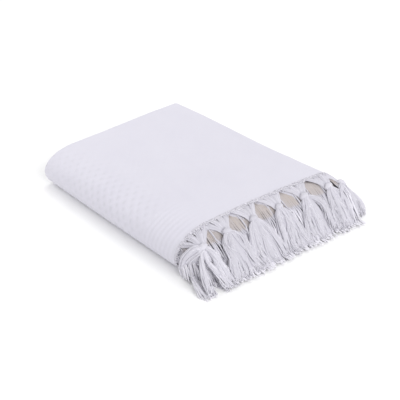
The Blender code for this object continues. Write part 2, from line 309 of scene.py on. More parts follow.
def wave(shape, share):
    """How far one of the packet's sides strays at a share of its length."""
    return shape["size"] * math.sin(shape["pace"] * share + shape["start"])


def settle(point):
    """The packet's own unevenness: nothing moves off the floor."""
    x, y, z = point
    along = x / PACKET_LENGTH
    across = min(max(y / PACKET_WIDTH, 0), 1)
    up = z / HEIGHT
    pull = -END_PULL * (1 - across**2) * ease(along)
    back = wave(BACK_WAVE, across) * (1 - ease(along * 2)) * up
    crown = CROWN * (0.5 * math.sin(math.pi * across) + 0.5 * ease(along)) * up * up
    middle = math.sin(math.pi * min(along, 1))
    bulge = -SIDE_BULGE * middle * (1 - ease(across / BULGE_REACH)) * up * (2 - up)
    far = wave(FAR_WAVE, along) * ease(across) * up
    return (x + pull + back, y + bulge + far, z + crown)


# %% [markdown]
# ## The zigzag of the warp
#
# One table row is one run of the cloth to an end of the packet. Around each fold the line turns
# in a half circle. The outermost ply and the fold at its end are what one sees, so they get a
# point about every two millimetres. The plies inside stay coarse: only their edges show.

# %% Runs of the warp
RUNS = (
    {"ply": 0, "stop": END_BACK, "arc": 9, "fine": True},
    {"ply": 3, "stop": END_NOSE, "arc": 4, "fine": False},
    {"ply": 4, "stop": END_LOW_BACK, "arc": 4, "fine": False},
    {"ply": 5, "stop": END_NOSE, "arc": 6, "fine": False},
    {"ply": 2, "stop": END_BACK, "arc": 4, "fine": False},
    {"ply": 1, "stop": PACKET_LENGTH, "arc": 0, "fine": False},
)
FINE_STEP = 2.2 * MM
COARSE_STEP = 36 * MM


def warp_course():
    """Points along the warp: x, depth, the way out of the cloth's outer face, and the length."""
    course = []
    here = PACKET_LENGTH
    face = 1
    length = 0.0
    for number, run in enumerate(RUNS):
        depth = PLY_PITCH * ((PLIES - 1) / 2 - run["ply"])
        span = abs(run["stop"] - here)
        steps = round(span / (FINE_STEP if run["fine"] else COARSE_STEP))
        for step in range(steps + 1):
            share = step / steps
            x = here + (run["stop"] - here) * share
            course.append((x, depth, 0, face, length + span * share))
        length += span
        if run["arc"]:
            next_depth = PLY_PITCH * ((PLIES - 1) / 2 - RUNS[number + 1]["ply"])
            outward = face * (1 if depth > next_depth else -1)
            heading = 1 if run["stop"] > here else -1
            radius = abs(next_depth - depth) / 2
            start = math.copysign(math.pi / 2, depth - next_depth)
            for step in range(1, run["arc"]):
                share = step / run["arc"]
                x_out = heading * math.cos(start * (1 - 2 * share))
                depth_out = math.sin(start * (1 - 2 * share))
                course.append(
                    (
                        run["stop"] + radius * x_out,
                        (depth + next_depth) / 2 + radius * depth_out,
                        x_out * outward,
                        depth_out * outward,
                        length + math.pi * radius * share,
                    )
                )
            length += math.pi * radius
            face = -face
            here = run["stop"]
    return course


COURSE = warp_course()
WARP_LENGTH = COURSE[-1][4]
print("warp:", round(WARP_LENGTH, 3), "m in", len(COURSE), "points")

# %% [markdown]
# ## The rows of the winding
#
# Across the warp the rows follow the winding, with a number of steps for each of its legs. They
# are close on the big fold, the top and the far side. The inner face of the cloth isn't seen, so
# it keeps only every fifth row.

# %% Rows along the winding
ROW_STEPS = (15, 15, 40, 125, 25, 10, 5, 10)
ROW_SKIP = 5
PLACES = [0.0]
for leg_number, row_steps in enumerate(ROW_STEPS):
    PLACES += [leg_number + step / row_steps for step in range(1, row_steps + 1)]
print(len(PLACES), "rows, inner face", len(PLACES[::ROW_SKIP]))

# %% [markdown]
# ## The weave's relief
#
# In a waffle weave long floats draw the cloth together into small pits between ridges. Here
# the pits lie in staggered rows, about 21 mm apart both ways. Towards the fringe the weave goes over
# into plain ribs across the warp. The relief is real: it moves the outer face in and out by
# less than a millimetre. A few soft creases and swellings are laid in on top of it.

# %% Relief of the outer face
PIT_PITCH_WARP = 20.6 * MM
PIT_PITCH_WEFT = 21.6 * MM
PIT_DEPTH = 0.85 * MM
PIT_SHARPNESS = 1.5
RIDGE_HEIGHT = 0.15 * MM
RIB_PITCH = 10.3 * MM
RIB_HEIGHT = 0.3 * MM
RIB_BAND = 72 * MM
BAND_BLEND = 25 * MM
TOP_SHARE = 0.1
WEAR = 0.25
WEAR_FROM = 190 * MM
FLAT_FROM = LEG_STARTS[SHOULDER] + 42 * MM
FLAT_BLEND = 50 * MM

# Creases: middle (warp, weft) and half sizes in metres, turn in degrees, height in metres
CREASES = (
    {"warp": 0.10, "weft": 0.47, "long": 0.11, "wide": 0.012, "turn": 12, "high": 1.0 * MM},
    {"warp": 0.24, "weft": 0.52, "long": 0.16, "wide": 0.016, "turn": -6, "high": -0.9 * MM},
    {"warp": 0.33, "weft": 0.60, "long": 0.12, "wide": 0.014, "turn": 20, "high": 0.9 * MM},
    {"warp": 0.16, "weft": 0.40, "long": 0.14, "wide": 0.012, "turn": 4, "high": -0.8 * MM},
    {"warp": 0.30, "weft": 0.38, "long": 0.09, "wide": 0.010, "turn": -14, "high": 1.2 * MM},
    {"warp": 0.06, "weft": 0.66, "long": 0.07, "wide": 0.012, "turn": 60, "high": 0.9 * MM},
)
CREASE_FADE = 60 * MM
CREASE_REACH = 2.5


def crease_height(warp, weft):
    """The soft troughs and swellings at one place of the cloth."""
    total = 0.0
    for crease in CREASES:
        turn = math.radians(crease["turn"])
        dx, dy = warp - crease["warp"], weft - crease["weft"]
        along = (dx * math.cos(turn) + dy * math.sin(turn)) / crease["long"]
        aside = (dy * math.cos(turn) - dx * math.sin(turn)) / crease["wide"]
        if abs(along) < CREASE_REACH and abs(aside) < CREASE_REACH:
            total += crease["high"] * math.exp(-along * along - aside * aside)
    return total * ease(min(warp, WARP_LENGTH - warp) / CREASE_FADE)


def relief(warp, weft):
    """Height of the weave at one place of the cloth: pits, ridges between them, and end ribs."""
    cell = math.cos(2 * math.pi * warp / PIT_PITCH_WARP)
    cell *= math.cos(2 * math.pi * weft / PIT_PITCH_WEFT)
    waffle = -PIT_DEPTH * cell**PIT_SHARPNESS if cell > 0 else -RIDGE_HEIGHT * cell
    waffle *= 1 - WEAR + WEAR * math.cos(2 * math.pi * (warp - WEAR_FROM) / PACKET_LENGTH)
    rib = RIB_HEIGHT * math.cos(2 * math.pi * warp / RIB_PITCH)
    from_end = min(warp, WARP_LENGTH - warp)
    share = ease((from_end - RIB_BAND) / BAND_BLEND)
    flatten = 1 - (1 - TOP_SHARE) * ease((weft - FLAT_FROM) / FLAT_BLEND)
    return (rib + (waffle - rib) * share) * flatten


print("relief at a pit:", round(relief(PIT_PITCH_WARP * 5, 0), 5))

# %% [markdown]
# ## The sheet
#
# Two nets of points are laid out: a fine one for the outer face and a coarse one for the inner
# face, THICKNESS apart. Strips along the four edges join them, so the sheet is a closed thin
# solid, as real cloth is. Each point keeps its place along warp and weft as a UV map, which is
# what the finish is drawn on.


# %% Net of one face
COARSE_SKIP = 10


def net(course, places, side):
    """Points of one face of the cloth, with warp, weft and relief of each."""
    rows = []
    for place in places:
        weft = weft_at(place)
        row = []
        for x, depth, x_out, depth_out, warp in course:
            height = relief(warp, weft) if side > 0 else 0.0
            lift = THICKNESS / 2 + height + (crease_height(warp, weft) if side > 0 else 0.0)
            point = on_winding(x + x_out * lift * side, depth + depth_out * lift * side, place)
            row.append((settle(point), warp, weft, height))
        rows.append(row)
    return rows


def coarse_course():
    """The course of the inner face: of the fine run only every tenth point."""
    fine = round((PACKET_LENGTH - END_BACK) / FINE_STEP)
    kept = [i for i in range(0, fine + 1) if i % COARSE_SKIP == 0 or i == fine]
    return [COURSE[i] for i in kept] + COURSE[fine + 1 :], kept + list(range(fine + 1, len(COURSE)))


INNER_COURSE, INNER_COLUMNS = coarse_course()
INNER_ROWS = list(range(0, len(PLACES), ROW_SKIP))
outer_net = net(COURSE, PLACES, 1)
inner_net = net(INNER_COURSE, [PLACES[i] for i in INNER_ROWS], -1)
print("faces of", len(outer_net), "x", len(COURSE), "and", len(inner_net), "x", len(INNER_COURSE))

# %% Where the packet stands in the frame
cad_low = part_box("cloth")[0]
net_points = [spot[0] for row in outer_net + inner_net for spot in row]
net_low = [min(point[axis] for point in net_points) for axis in (0, 1)]
SHIFT = Vector((cad_low.x - net_low[0], cad_low.y - net_low[1], 0))
print("shift:", [round(v, 4) for v in SHIFT])


# %% Join the two nets
SHARP_ANGLE = 60


def fan(faces, fine_line, coarse_line, kept):
    """A strip of triangles between a fine line of points and a coarse one."""
    for number in range(len(coarse_line) - 1):
        low, high = kept[number], kept[number + 1]
        turn = (low + high + 1) // 2
        for i in range(low, high):
            nearest = coarse_line[number] if i < turn else coarse_line[number + 1]
            faces.append((nearest, fine_line[i], fine_line[i + 1]))
        faces.append((coarse_line[number], fine_line[turn], coarse_line[number + 1]))


def net_faces(first, rows, columns):
    """Quads of one net, whose points are numbered row by row."""
    faces = []
    for row in range(rows - 1):
        for column in range(columns - 1):
            a = first + row * columns + column
            faces.append((a, a + 1, a + columns + 1, a + columns))
    return faces


# %% Make a mesh of points and faces
def closed_mesh(name, points, faces):
    """A closed mesh with its faces turned outwards."""
    mesh = bpy.data.meshes.new(name)
    mesh.from_pydata(points, [], faces)
    shell = bmesh.new()
    shell.from_mesh(mesh)
    bmesh.ops.recalc_face_normals(shell, faces=shell.faces)
    shell.to_mesh(mesh)
    shell.free()
    return mesh


def mark_points(mesh, map_name, places, value_name, values):
    """Give a mesh its UV map and one more value, both listed by point."""
    lay = mesh.uv_layers.new(name=map_name)
    for loop in mesh.loops:
        lay.data[loop.index].uv = places[loop.vertex_index]
    kept = mesh.attributes.new(value_name, "FLOAT", "POINT")
    kept.data.foreach_set("value", values)
    mesh.shade_smooth()


def as_piece(mesh):
    """An object at the origin for a finished mesh, with the same name."""
    item = bpy.data.objects.new(mesh.name, mesh)
    bpy.context.collection.objects.link(item)
    return item


def count_triangles(mesh):
    """How many triangles a mesh comes to."""
    return sum(len(face.vertices) - 2 for face in mesh.polygons)


# %% Make the sheet
def make_sheet(name):
    """The cloth as one closed mesh with its UV map and its relief."""
    spots = [spot for row in outer_net + inner_net for spot in row]
    columns, rows = len(COURSE), len(PLACES)
    inner_first, inner_columns, inner_rows = columns * rows, len(INNER_COURSE), len(INNER_ROWS)
    faces = net_faces(0, rows, columns) + net_faces(inner_first, inner_rows, inner_columns)
    for row, inner_row in ((0, 0), (rows - 1, inner_rows - 1)):
        fine = [row * columns + i for i in range(columns)]
        coarse = [inner_first + inner_row * inner_columns + i for i in range(inner_columns)]
        fan(faces, fine, coarse, INNER_COLUMNS)
    for column, inner_column in ((0, 0), (columns - 1, inner_columns - 1)):
        fine = [j * columns + column for j in range(rows)]
        coarse = [inner_first + j * inner_columns + inner_column for j in range(inner_rows)]
        fan(faces, fine, coarse, INNER_ROWS)
    mesh = closed_mesh(name, [Vector(spot[0]) + SHIFT for spot in spots], faces)
    places = [(spot[1] / WARP_LENGTH, spot[2] / WARP_LENGTH) for spot in spots]
    mark_points(mesh, "warp and weft", places, "relief", [spot[3] / PIT_DEPTH for spot in spots])
    mesh.set_sharp_from_angle(angle=math.radians(SHARP_ANGLE))
    return as_piece(mesh)


cloth = make_sheet("bedspread_cloth")
print("cloth:", count_triangles(cloth.data), "triangles")

# %% [markdown]
# ## The finish of the cloth
#
# Bleached cotton in a waffle weave has no gloss, a faint sheen from its loose fibres, and a cool
# white colour. Its threads are 1.2 mm apart, which is finer than a pixel of the picture, so they
# are drawn at 2.4 mm to show at all. The pits are painted a little darker than the ridges, as
# painted shade, because less light finds its way out of them.

# %% Waffle cotton
THREAD_PITCH = 2.4 * MM
THREAD_DEPTH = 0.25 * MM
# A wave of Blender's has one band in a length of pi / 10 divided by its scale
WAVE_SCALE = math.pi / 10 / THREAD_PITCH
# Cells of noise in a metre: lint in clumps of about 4 mm, and soft patches of about 70 mm
LINT_CLUMPS = 260.0
PATCHES = 14.0

waffle_finish, tree, shader = new_finish("bleached cotton, waffle weave")
place = add_node(tree, "UVMap", {"uv_map": "warp and weft"}).outputs["UV"]
in_metres = add_node(tree, "Mapping", {"Scale": (WARP_LENGTH, WARP_LENGTH, 1)}, {"Vector": place})
metres = in_metres.outputs["Vector"]
threads = []
for direction in ("X", "Y"):
    settings = {
        "bands_direction": direction,
        "Scale": WAVE_SCALE,
        "Distortion": 1.2,
        "Detail": 1.0,
        "Detail Scale": 2.0,
    }
    threads.append(add_node(tree, "TexWave", settings, {"Vector": metres}).outputs["Fac"])
weave = add_node(tree, "Math", {"operation": "MULTIPLY"}, {0: threads[0], 1: threads[1]})
lint = add_node(tree, "TexNoise", {"Scale": LINT_CLUMPS, "Detail": 3.0}, {"Vector": metres})
links = {0: weave.outputs["Value"], 1: lint.outputs["Fac"]}
surface = add_node(tree, "Math", {"operation": "ADD"}, links)
links = {"Height": surface.outputs["Value"]}
bump = add_node(tree, "Bump", {"Strength": 0.6, "Distance": THREAD_DEPTH}, links)
depth = add_node(tree, "Attribute", {"attribute_name": "relief"}).outputs["Fac"]
level = add_node(tree, "MapRange", {"From Min": -1.0, "From Max": 0.3}, {"Value": depth})
# Painted shade: the deeper the relief, the darker the colour, from the ridges' DAD8E2 to the pits'
# D2D0D9
pit_painted_shade_ramp = add_node(tree, "ValToRGB", links={"Fac": level.outputs["Result"]})
pit_painted_shade_ramp.color_ramp.elements[0].color = colour("D2D0D9")
pit_painted_shade_ramp.color_ramp.elements[1].color = colour("DAD8E2")
patches = add_node(tree, "TexNoise", {"Scale": PATCHES, "Detail": 4.0}, {"Vector": metres})
patch_tone = add_node(tree, "ValToRGB", links={"Fac": patches.outputs["Fac"]})
patch_tone.color_ramp.elements[0].color = colour("F8F8FA")
patch_tone.color_ramp.elements[1].color = colour("FFFFFF")
settings = {"data_type": "RGBA", "blend_type": "MULTIPLY", 0: 1.0}
links = {6: pit_painted_shade_ramp.outputs["Color"], 7: patch_tone.outputs["Color"]}
blend = add_node(tree, "Mix", settings, links)
tree.links.new(blend.outputs[2], shader.inputs["Base Color"])
tree.links.new(bump.outputs["Normal"], shader.inputs["Normal"])
set_cotton(shader, roughness=0.92, sheen=0.25)
cloth.data.materials.append(waffle_finish)
print("finish:", waffle_finish.name)

# %% [markdown]
# ## The fringe
#
# After the last woven rows the warp hangs free. It is gathered in groups, these are tied in a
# knot, and below the knot the yarns fall loose and splay on the floor. Hair particles could make
# that, but they don't hold a knot and can't be cut to lie on a floor, so each yarn is a small
# tube along a path. The tables are those of the solids, one row for each leg of the winding that
# has tassels, but with a number of yarns in place of a strand's radius. Only the two tassels on
# the rounded corner reach further than their solids, to where the photograph shows them.

# %% Tables of the tassels
EDGE_GAP = 0.5 * MM
STRIP_WIDTH = 5 * MM
GROUP_LENGTH = 25 * MM
KNOT_LENGTH = 9 * MM
TASSEL_PITCH = 59 * MM
LANDING = 0.86
LOCKS = 5
LEG_STEPS = (5, 5, 7, 6, 5, 5, 4, 5)
BEND_MIDDLE = 1.5
KNOT_HEART = 0.6
MOST_HIDDEN_YARNS = 5

# First: millimetres along a straight leg, or the step of a bent one. Reach and rest: millimetres
# from the edge to the tips, and from the floor to them. Droop: how late the tassel falls. Drift:
# millimetres aside at the tips. Knot: 1 stands out, 0 is pressed flat, -1 lies under another
TASSEL_COLUMNS = ("leg", "first", "count", "reach", "rest", "droop", "drift", "knot", "yarns")
OUTER_TASSELS = (
    (LOWER, 24, 5, 58, 0, 2, 0, 0, 4),
    (TUCK, 1, 1, 98, 0, 1.5, 22, 1, 12),
    (SHOULDER, 3, 1, 102, 0, 1.6, -11, 1, 15),
    (TOP, 15, 5, 104, 0, 1.8, -3, 1, 15),
    (FAR_FOLD, 0, 1, 88, 0, 2.4, 5, 1, 14),
    (UNDER, 30, 4, 62, 11.8, 1.8, 0, 0, 4),
    (MIDDLE, 36, 4, 62, 8.85, 1.8, 0, 0, 4),
)
INNER_TASSELS = (
    (LOWER, 42, 4, 76, 0, 8, 0, -1, 4),
    (SHOULDER, 3, 1, 72, 0, 1.7, 9, -1, 10),
    (TOP, 12, 4, 88, 0, 1.7, 0, -1, 10),
    (UNDER, 44, 4, 62, 14.75, 1.8, 0, -1, 4),
    (MIDDLE, 22, 4, 62, 5.9, 1.8, 0, -1, 4),
)


def tassels_of(rows, depth):
    """Every tassel of one fringe: where it starts, the way along the edge there, and its row."""
    found = []
    for values in rows:
        row = dict(zip(TASSEL_COLUMNS, values))
        leg = row["leg"]
        for number in range(row["count"]):
            if leg in BENT_LEGS:
                place = leg + (row["first"] + BEND_MIDDLE) / LEG_STEPS[leg]
            else:
                place = leg + (row["first"] * MM + number * TASSEL_PITCH) / LEGS[leg]["length"]
            start = on_winding(0, depth, place)[1:]
            along = LEGS[leg]["at"](place - leg)[2:]
            found.append({**row, "place": place, "depth": depth, "start": start, "along": along})
    return found


STRIP_END = PACKET_LENGTH + EDGE_GAP + STRIP_WIDTH
KNOT_START = STRIP_END + GROUP_LENGTH
TUFT_START = KNOT_START + KNOT_LENGTH * KNOT_HEART
OUTER_DEPTH = PLY_PITCH * (PLIES - 1) / 2
INNER_DEPTH = OUTER_DEPTH - PLY_PITCH
outer_tassels = tassels_of(OUTER_TASSELS, OUTER_DEPTH)
inner_tassels = tassels_of(INNER_TASSELS, INNER_DEPTH)
print("tassels:", len(outer_tassels), "and", len(inner_tassels))


# %% How a tassel falls
def tassel_frame(tassel, x):
    """The middle of a tassel at x, with its ways across and out of the pile, as vectors."""
    y, z = tassel["start"]
    share = (x - STRIP_END) / (PACKET_LENGTH + tassel["reach"] * MM - STRIP_END)
    level = ease(share)
    low = tassel["rest"] * MM + THICKNESS / 2
    height = low + (z - low) * (1 - min(max(share, 0) / LANDING, 1) ** tassel["droop"])
    y_way, z_way = tassel["along"]
    flat_y = y_way * (1 - level) + math.copysign(level, y_way)
    across = Vector((0, flat_y, z_way * (1 - level))).normalized()
    middle = Vector((x, y + tassel["drift"] * MM * level, height))
    return middle, across, Vector((0, -across.z, across.y))


def shown(tassel):
    """Whether a tassel can be seen from outside, which its number of yarns tells."""
    return tassel["yarns"] > MOST_HIDDEN_YARNS


def is_corner(tassel):
    """Whether it is the tassel that stands on the shoulder of the rounded fold."""
    return tassel["leg"] == SHOULDER and tassel["knot"] > 0


print("on the corner:", sum(is_corner(tassel) for tassel in outer_tassels + inner_tassels))

# %% [markdown]
# ## Tubes for yarns
#
# A yarn is a tube of a few sides with closed ends. Each ring of it is turned square to the path.
# The UV map runs around the tube and along it, so that the finish can draw the twist of the plied
# yarn. Each point also has a tone, which paints light and shade as well as the yarn's own colour:
# from 0, painted warm shade behind the tassels, to 1, a painted highlight on single fibres. Yarns
# differ a little at random, and one yarn can come out of the painted shade along its way.

# %% Tones of the yarns
YARN_TONE = 0.4
FRONT_TONE = 0.8
# Painted light: the lit lower part of the curtain and the fluff along the edge
LIT_TONE = 0.92
# Painted highlight: stray and tip fibres are near white, lighter than any yarn
FIBRE_PAINTED_HIGHLIGHT = 1
YARN_TONES = (YARN_TONE, FRONT_TONE)
# Painted light: less light reaches the corner and the low tassels there, so their yarns are painted
# lighter
CORNER_PAINTED_LIGHT_TONES = (0.55, 0.9)
LOW_PAINTED_LIGHT_TONES = (0.85, 1.0)
print("yarns have tones from", YARN_TONE, "to", FRONT_TONE)

# %% A tube along a path
YARN_RADIUS = 1.35 * MM
GROUP_SIDES = 5
CORE_SIDES = 6
YARN_SIDES = 4
FIBRE_SIDES = 3
TINY = 1e-9


def new_heap():
    """An empty store for the points, faces, UV places and tones of many tubes."""
    return {"points": [], "faces": [], "uv": [], "tone": []}


def add_point(heap, point, uv, tone):
    """Add one point with its UV place and its tone."""
    heap["points"].append(point)
    heap["uv"].append(uv)
    heap["tone"].append(tone)


def add_rings(heap, first, rings, sides):
    """Add the faces of a closed tube whose points are numbered ring by ring."""
    for ring in range(rings - 1):
        for turn in range(sides):
            a = first + ring * sides + turn
            b = first + ring * sides + (turn + 1) % sides
            heap["faces"].append((a, b, b + sides, a + sides))
    heap["faces"].append(tuple(first + turn for turn in reversed(range(sides))))
    last = first + (rings - 1) * sides
    heap["faces"].append(tuple(last + turn for turn in range(sides)))


def add_tube(heap, path, radii, sides, tones):
    """Add a closed tube along a path of points, with its own radius and tone at each."""
    first = len(heap["points"])
    length = 0.0
    for number, centre in enumerate(path):
        ahead = path[min(number + 1, len(path) - 1)] - path[max(number - 1, 0)]
        if ahead.length < TINY:
            ahead = Vector((1, 0, 0))
        side = ahead.cross(Vector((0, 0, 1)))
        side = side.normalized() if side.length > TINY else Vector((0, 1, 0))
        rise = side.cross(ahead).normalized()
        if number:
            length += (centre - path[number - 1]).length
        tone = tones[number] if isinstance(tones, list) else tones
        for turn in range(sides):
            angle = 2 * math.pi * turn / sides
            rim = side * math.cos(angle) + rise * math.sin(angle)
            add_point(heap, centre + radii[number] * rim, (turn / sides, length), tone)
    add_rings(heap, first, len(path), sides)


def placed(spot):
    """A point with the packet's unevenness, at its place in the frame."""
    return Vector(settle(spot)) + SHIFT


def settled(path):
    """The same for every point of a path."""
    return [placed(spot) for spot in path]


print("yarns are", 2 * YARN_RADIUS / MM, "mm thick with", YARN_SIDES, "sides")

# %% [markdown]
# ## The knot
#
# The knot is where the groups of warp are turned around each other once. By hand: add a torus as
# the first loop, add a second one tilted the other way, and press both flat. It is modelled
# once, and its points are then set on every tassel.

# %% Model one knot
KNOT_RADIUS = 5.8 * MM
KNOT_CORD = 3.7 * MM
KNOT_TILT = 24
SECOND_LOOP = {"radius": 0.85, "cord": 0.9, "ahead": 1.8 * MM, "roll": 30}
LOOP_SEGMENTS = 14
CORD_SEGMENTS = 7

bpy.ops.object.select_all(action="DESELECT")
bpy.ops.mesh.primitive_torus_add(
    major_radius=KNOT_RADIUS,
    minor_radius=KNOT_CORD,
    major_segments=LOOP_SEGMENTS,
    minor_segments=CORD_SEGMENTS,
    location=(0, 0, 0),
    rotation=(0, math.radians(90 + KNOT_TILT), 0),
)
knot = bpy.context.object
bpy.ops.mesh.primitive_torus_add(
    major_radius=KNOT_RADIUS * SECOND_LOOP["radius"],
    minor_radius=KNOT_CORD * SECOND_LOOP["cord"],
    major_segments=LOOP_SEGMENTS,
    minor_segments=CORD_SEGMENTS,
    location=(SECOND_LOOP["ahead"], 0, 0),
    rotation=(math.radians(SECOND_LOOP["roll"]), math.radians(90 - KNOT_TILT), 0),
)
second_loop = bpy.context.object
bpy.ops.object.select_all(action="DESELECT")
knot.select_set(True)
second_loop.select_set(True)
bpy.context.view_layer.objects.active = knot
bpy.ops.object.join()
bpy.ops.object.transform_apply(location=True, rotation=True, scale=True)
KNOT_POINTS = [vertex.co.copy() for vertex in knot.data.vertices]
KNOT_FACES = [tuple(face.vertices) for face in knot.data.polygons]
bpy.data.objects.remove(knot, do_unlink=True)
print("knot:", len(KNOT_FACES), "faces")


# %% Set a knot on a tassel
# How thick a knot stays where it stands out, is pressed flat or lies under another tassel
KNOT_FLAT = {1: 0.72, 0: 0.25, -1: 0.5}
KNOT_LIFT = 3 * MM
KNOT_ROLLS = (-0.5, 0.5)
KNOT_SIZES = (0.92, 1.1)
# How closely the twist is drawn on the loops: turns in a metre across the knot
KNOT_TURNS = 60


def add_knot(heap, tassel, chance):
    """A copy of the knot, turned to its tassel and pressed as flat as its place allows."""
    x = KNOT_START + KNOT_LENGTH / 2
    middle, across, out = tassel_frame(tassel, x)
    ahead = (tassel_frame(tassel, x + MM)[0] - tassel_frame(tassel, x - MM)[0]).normalized()
    lift = out * (KNOT_LIFT * tassel["knot"])
    roll = Matrix.Rotation(chance.uniform(*KNOT_ROLLS), 3, "X")
    size = chance.uniform(*KNOT_SIZES)
    first = len(heap["points"])
    tone = chance.uniform(*YARN_TONES)
    for point in KNOT_POINTS:
        p = roll @ point * size
        spot = middle + lift + ahead * p.x + across * p.y + out * (p.z * KNOT_FLAT[tassel["knot"]])
        add_point(heap, spot, (p.y * KNOT_TURNS, p.z + p.x), tone)
    for face in KNOT_FACES:
        heap["faces"].append(tuple(first + corner for corner in face))


print("knots lie", round((KNOT_START - PACKET_LENGTH) / MM, 1), "mm past the cloth's edge")

# %% [markdown]
# ## Groups of warp above the knot
#
# Between the cloth's edge and the knot the warp runs in flat groups, four for each tassel that
# shows and two for one between the layers. Their yarns leave the edge side by side, as they
# were woven, and draw together in the knot.

# %% Groups of warp
# Each group: its middle at the cloth's edge and at the knot, and its number of yarns
GROUPS = (
    {"edge": -22 * MM, "knot": -4.6 * MM, "yarns": 5},
    {"edge": -7.5 * MM, "knot": -1.6 * MM, "yarns": 5},
    {"edge": 7.5 * MM, "knot": 1.6 * MM, "yarns": 5},
    {"edge": 22 * MM, "knot": 4.6 * MM, "yarns": 5},
)
HIDDEN_GROUPS = (
    {"edge": -12 * MM, "knot": -3 * MM, "yarns": 4},
    {"edge": 12 * MM, "knot": 3 * MM, "yarns": 4},
)
EDGE_SPACING = 2.45 * MM
KNOT_SPACING = 1.3 * MM
UNDER_CLOTH = 0.3 * MM
ON_STRIP = 0.4 * MM
GROUP_STEPS = 7
GATHER = 0.8
# In millimetres: how far a group strays along the edge, and how far it bows out
GROUP_SHIFTS = (-1.2, 1.2)
GROUP_SWELLS = (-0.5, 1.5)


def place_at(weft):
    """The place of the winding that is so far along the weft."""
    leg = max(number for number in range(len(LEGS)) if LEG_STARTS[number] <= max(weft, 0))
    return leg + (weft - LEG_STARTS[leg]) / LEGS[leg]["length"]


def add_groups(heap, tassel, chance):
    """Flat groups of yarns that leave the cloth's edge side by side and meet in the knot."""
    start = PACKET_LENGTH + UNDER_CLOTH
    for group in GROUPS if shown(tassel) else HIDDEN_GROUPS:
        shift = chance.uniform(*GROUP_SHIFTS) * MM
        swell = chance.uniform(*GROUP_SWELLS) * MM
        for number in range(group["yarns"]):
            share = number - (group["yarns"] - 1) / 2
            weft = weft_at(tassel["place"]) + (group["edge"] + share * EDGE_SPACING + shift)
            aside = group["knot"] + share * KNOT_SPACING
            rise = swell + (1 - abs(share) / 2) * MM
            tone = chance.uniform(*YARN_TONES)
            path = []
            for step in range(GROUP_STEPS + 1):
                t = step / GROUP_STEPS
                x = start + (TUFT_START - start) * t
                middle, across, out = tassel_frame(tassel, x)
                base = Vector(on_winding(x, tassel["depth"], place_at(weft)))
                base.z += middle.z - tassel["start"][1]
                spot = base.lerp(middle + across * aside, ease(t) * GATHER + t * (1 - GATHER))
                bow = rise * math.sin(math.pi * t) + ON_STRIP * (1 - t)
                path.append(spot + out * bow)
            add_tube(heap, settled(path), [YARN_RADIUS] * len(path), GROUP_SIDES, tone)


print("warp above a knot:", sum(group["yarns"] for group in GROUPS), "yarns")

# %% [markdown]
# ## A lock of loose yarns
#
# Yarns that have been washed cling together in locks. A lock is a soft core with yarns wound
# loosely about it, and it opens towards its tips. Thin fibres stand away from the tips and some
# long ones leave the yarns on their way, which makes the edge of the fringe soft.

# %% Fibres beside a yarn
STRAY_REACH = 9 * MM
STRAY_RADIUS = 0.55 * MM
STRAY_STEPS = 3
STRAY_TAPER = 0.25
STRAY_BEND = 1.5
LOWEST_STRAY = 0.5 * MM
TIP_FIBRES = 2
FIBRE_SHARES = (0, 0.35, 0.7, 1)
FIBRE_RADII = [0.4 * MM, 0.35 * MM, 0.25 * MM, 0.1 * MM]
FIBRE_AHEAD = 4 * MM
FIBRE_ASIDE = 5 * MM
LOWEST_FIBRE = 0.3 * MM


def add_stray(heap, path, chance):
    """One long thin fibre that leaves a yarn along its way and hangs beside it."""
    start = chance.randrange(1, len(path) - 1 - STRAY_STEPS)
    way = (chance.uniform(-0.4, 0.4), chance.uniform(-1, 1), chance.uniform(0, 0.5))
    aside = Vector(way) * STRAY_REACH
    line = []
    for step in range(STRAY_STEPS + 1):
        spot = path[start + step] + aside * (step / STRAY_STEPS) ** STRAY_BEND
        spot.z = max(spot.z, LOWEST_STRAY)
        line.append(spot)
    radii = [STRAY_RADIUS * (1 - STRAY_TAPER * step) for step in range(len(line))]
    add_tube(heap, line, radii, FIBRE_SIDES, FIBRE_PAINTED_HIGHLIGHT)


def add_tip_fibres(heap, path, chance):
    """Thin fibres that stand away from the last part of a yarn."""
    for _ in range(TIP_FIBRES):
        start = path[-3].lerp(path[-1], chance.random())
        ahead = (path[-1] - path[-2]).normalized()
        aside = Vector((chance.uniform(-1, 1), chance.uniform(-1, 1), chance.uniform(-0.2, 0.7)))
        line = []
        for share in FIBRE_SHARES:
            spot = start + ahead * (FIBRE_AHEAD * share) + aside * (FIBRE_ASIDE * share * share)
            spot.z = max(spot.z, LOWEST_FIBRE)
            line.append(spot)
        add_tube(heap, line, FIBRE_RADII, FIBRE_SIDES, FIBRE_PAINTED_HIGHLIGHT)


print("fibres of a yarn:", TIP_FIBRES, "at its tip and one along its way")

# %% One lock
CORE_SHARE = 0.95
# The yarns turn with the share of the way times what is left of it, a quarter of this at most
LOCK_TURNS = 4.5
# Radians from one yarn to the next around the core, and how much each strays from that
YARN_TURN = 2.4
YARN_TURN_STRAY = 0.3
# How far out the first yarns lie, as a share of the lock, and how much further the last do
INNER_RING = 0.7
RING_GROWTH = 0.35
YARN_TAPER = 0.35
# The least and most of each yarn's length, curl in millimetres, waves, phase and thickness
YARN_TRIMS = (0.9, 1.04)
YARN_CURLS = (0.5, 2.4)
YARN_PACES = (4, 9)
PHASES = (0, 6.28)
YARN_WIDTHS = (0.9, 1.35)


